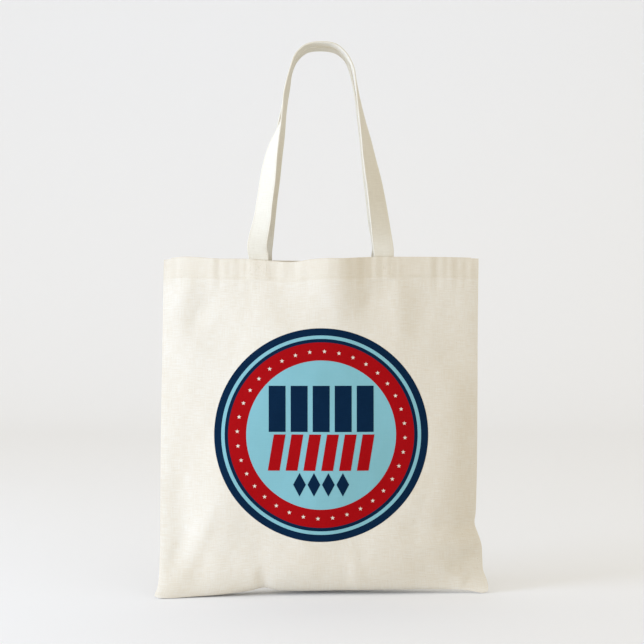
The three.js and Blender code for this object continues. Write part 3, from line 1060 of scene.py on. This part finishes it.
def add_rings():
    edge = radius_of("print_outer_ring") + JOIN
    pale_edge = radius_of("print_pale_ring") + JOIN
    inner_edge = radius_of("print_inner_ring") + JOIN
    band_edge = radius_of("print_star_band") + JOIN
    field_edge = radius_of("print_pale_field") + JOIN
    rings = [
        ("outer_ring", "ink_navy", pale_edge, edge),
        ("pale_ring", "ink_pale", inner_edge, pale_edge),
        ("inner_ring", "ink_navy", band_edge, inner_edge),
        ("pale_field", "ink_pale", 0.0, field_edge),
    ]
    for name, slot, inner, outer in rings:
        outlines = [circle(outer)] + ([circle(inner)] if inner else [])
        piece = film(f"ink_{name}", outlines, between(inner * 0.9999 - 1e-6, outer))
        finish_piece(piece, slot, replaces=[f"print_{name}"])
    stars = star_outlines((field_edge + band_edge) / 2)
    in_band = between(field_edge * 0.9999, band_edge)

    def contains(points):
        keep = in_band(points)
        for star in stars:
            near = keep & (np.hypot(*(points - star.mean(axis=0)).T) < STAR_RADIUS)
            keep[near] = ~inside_polygon(points[near], star)
        return keep

    outlines = [circle(band_edge), circle(field_edge)] + stars
    band = film("ink_star_band", outlines, contains)
    finish_piece(band, "ink_red", replaces=["print_star_band"])


SLANT_LEAN = 7.0
MOTIF = {"upright": (5, "ink_navy"), "slant": (6, "ink_red"), "diamond": (4, "ink_navy")}


def motif_corners(kind, x0, x1, z0, z1):
    if kind == "upright":
        return [(x0, z0), (x1, z0), (x1, z1), (x0, z1)]
    if kind == "slant":
        return [(x0, z0), (x1 - SLANT_LEAN, z0), (x1, z1), (x0 + SLANT_LEAN, z1)]
    middle_x, middle_z = (x0 + x1) / 2, (z0 + z1) / 2
    return [(middle_x, z0), (x1, middle_z), (middle_x, z1), (x0, middle_z)]


def add_motif():
    """Rows of plain shapes across the badge, each where the frame has it."""
    for kind, (count, slot) in MOTIF.items():
        for number in range(1, count + 1):
            node = f"print_{kind}_{number}"
            low, high = (np.array(corner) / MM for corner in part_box(node))
            corners = motif_corners(kind, low[0], high[0], low[2] - PRINT_Z, high[2] - PRINT_Z)
            outline = subdivided(corners)
            piece = film(f"ink_{kind}_{number}", [outline], within(outline), lift=MOTIF_LIFT)
            finish_piece(piece, slot, replaces=[node])


# ---- The whole bag ----

front, back = Panel(FRONT), Panel(BACK)
for panel in (front, back):
    add_panel(panel)
    add_hem(panel)
    add_hem_stitching(panel)
    add_handle(panel)
    for hand in ("left", "right"):
        add_box_stitching(panel, hand)
add_bottom(front, back)
for hand in ("left", "right"):
    add_side_seam(hand)
add_rings()
add_motif()


# ---- Floor, light and camera ----

FLOOR_REACH = 6.0
BACKDROP_START = 2.5
BACKDROP_RADIUS = 1.5
FLOOR_COLOUR = (0.885, 0.897, 0.922, 1.0)
SKY_COLOUR = (1.0, 0.952, 0.858, 1.0)
SKY_STRENGTH = 0.9


def add_floor():
    """A pale floor that curves up into a backdrop."""
    profile = [(-FLOOR_REACH, 0.0), (BACKDROP_START, 0.0)]
    for angle in np.linspace(0, math.pi / 2, 17)[1:]:
        y = BACKDROP_START + BACKDROP_RADIUS * math.sin(angle)
        profile.append((y, BACKDROP_RADIUS * (1 - math.cos(angle))))
    profile.append((BACKDROP_START + BACKDROP_RADIUS, FLOOR_REACH))
    vertices = [(x, y, z) for y, z in profile for x in (-FLOOR_REACH, FLOOR_REACH)]
    faces = [(2 * k, 2 * k + 1, 2 * k + 3, 2 * k + 2) for k in range(len(profile) - 1)]
    floor = make_mesh("studio_floor", vertices, faces, np.zeros((len(vertices), 2)))
    material = bpy.data.materials.new("studio_floor")
    surface = {"Base Color": FLOOR_COLOUR, "Roughness": 0.95, "Specular IOR Level": 0.0}
    Nodes(material).finish(surface)
    floor.data.materials.append(material)


def add_sky():
    world = bpy.data.worlds.new("studio")
    world.use_nodes = True
    sky = world.node_tree.nodes["Background"]
    sky.inputs["Color"].default_value = SKY_COLOUR
    sky.inputs["Strength"].default_value = SKY_STRENGTH
    bpy.context.scene.world = world


def add_light(name, place, target, size, power, colour):
    light = bpy.data.lights.new(name, "AREA")
    light.shape = "RECTANGLE"
    light.size, light.size_y = size
    light.energy = power
    light.color = colour
    lamp = bpy.data.objects.new(name, light)
    lamp.location = place
    lamp.rotation_euler = (Vector(target) - Vector(place)).to_track_quat("-Z", "Y").to_euler()
    bpy.context.scene.collection.objects.link(lamp)


CAMERA_PLACE = (0.001, -1.73, 0.3265)
LENS = 80.0


def add_camera():
    data = bpy.data.cameras.new("camera")
    data.sensor_width = 36.0
    data.lens = LENS
    data.clip_end = 30.0
    camera = bpy.data.objects.new("camera", data)
    camera.location = CAMERA_PLACE
    camera.rotation_euler = (math.pi / 2, 0, 0)
    bpy.context.scene.collection.objects.link(camera)
    bpy.context.scene.camera = camera


add_floor()
add_sky()
bpy.context.scene.view_settings.view_transform = "Standard"
add_light(
    "key",
    place=(-2.38, -1.02, 0.42),
    target=(0, 0, 0.32),
    size=(1.3, 0.8),
    power=64.0,
    colour=(0.6, 0.735, 1.0),
)
add_camera()
